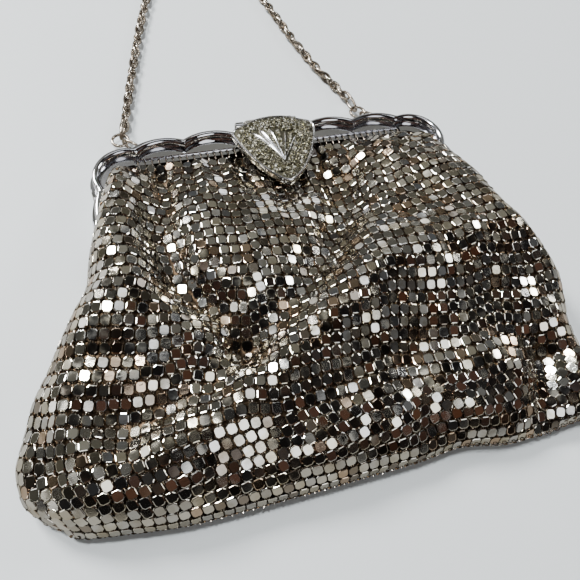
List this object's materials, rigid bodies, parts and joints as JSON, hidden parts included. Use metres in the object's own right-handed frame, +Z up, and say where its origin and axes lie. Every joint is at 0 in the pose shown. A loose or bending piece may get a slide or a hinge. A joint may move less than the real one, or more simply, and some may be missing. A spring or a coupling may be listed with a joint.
{
  "type": "metal mesh purse",
  "caption": "Small evening purse of flat metal mesh tiles on a scalloped chromed frame, with a stone-set flap clasp and a chain handle, lying on its back.",
  "frame": {"origin": "middle of the back jaw's top rail, on the underside of the clasp's hinge plate, which lies on the surface", "axes": "+X along the frame to the right as seen in the picture, +Y from the bag over the frame to the handle, +Z up, out of the front of the purse"},
  "size_m": [0.1509, 0.2291, 0.0215],
  "materials": {
    "frame_chrome": "polished",
    "fittings": "polished",
    "clasp_stones": "polished, set with cut stones",
    "mesh_metal": "bright, flat mirror tiles with brownish rings between them",
    "chain_metal": "polished, slightly browned"
  },
  "bodies": {
    "purse": {"front_jaw": "frame_chrome", "back_jaw": "frame_chrome", "rivet_left": "fittings", "rivet_right": "fittings", "clasp_pin": "fittings", "mesh_bag": "mesh_metal", "link_left": "chain_metal", "jump_ring_left": "chain_metal", "link_right": "chain_metal", "jump_ring_right": "chain_metal", "handle_chain": "chain_metal"},
    "flap": {"clasp": "clasp_stones"}
  },
  "joints": [
    {"name": "clasp_lift", "type": "hinge", "parent": "purse", "child": "flap", "pos_m": [0, 0.0088, 0.0062], "axis": [-1, 0, 0], "range_deg": [0, 60]}
  ]
}
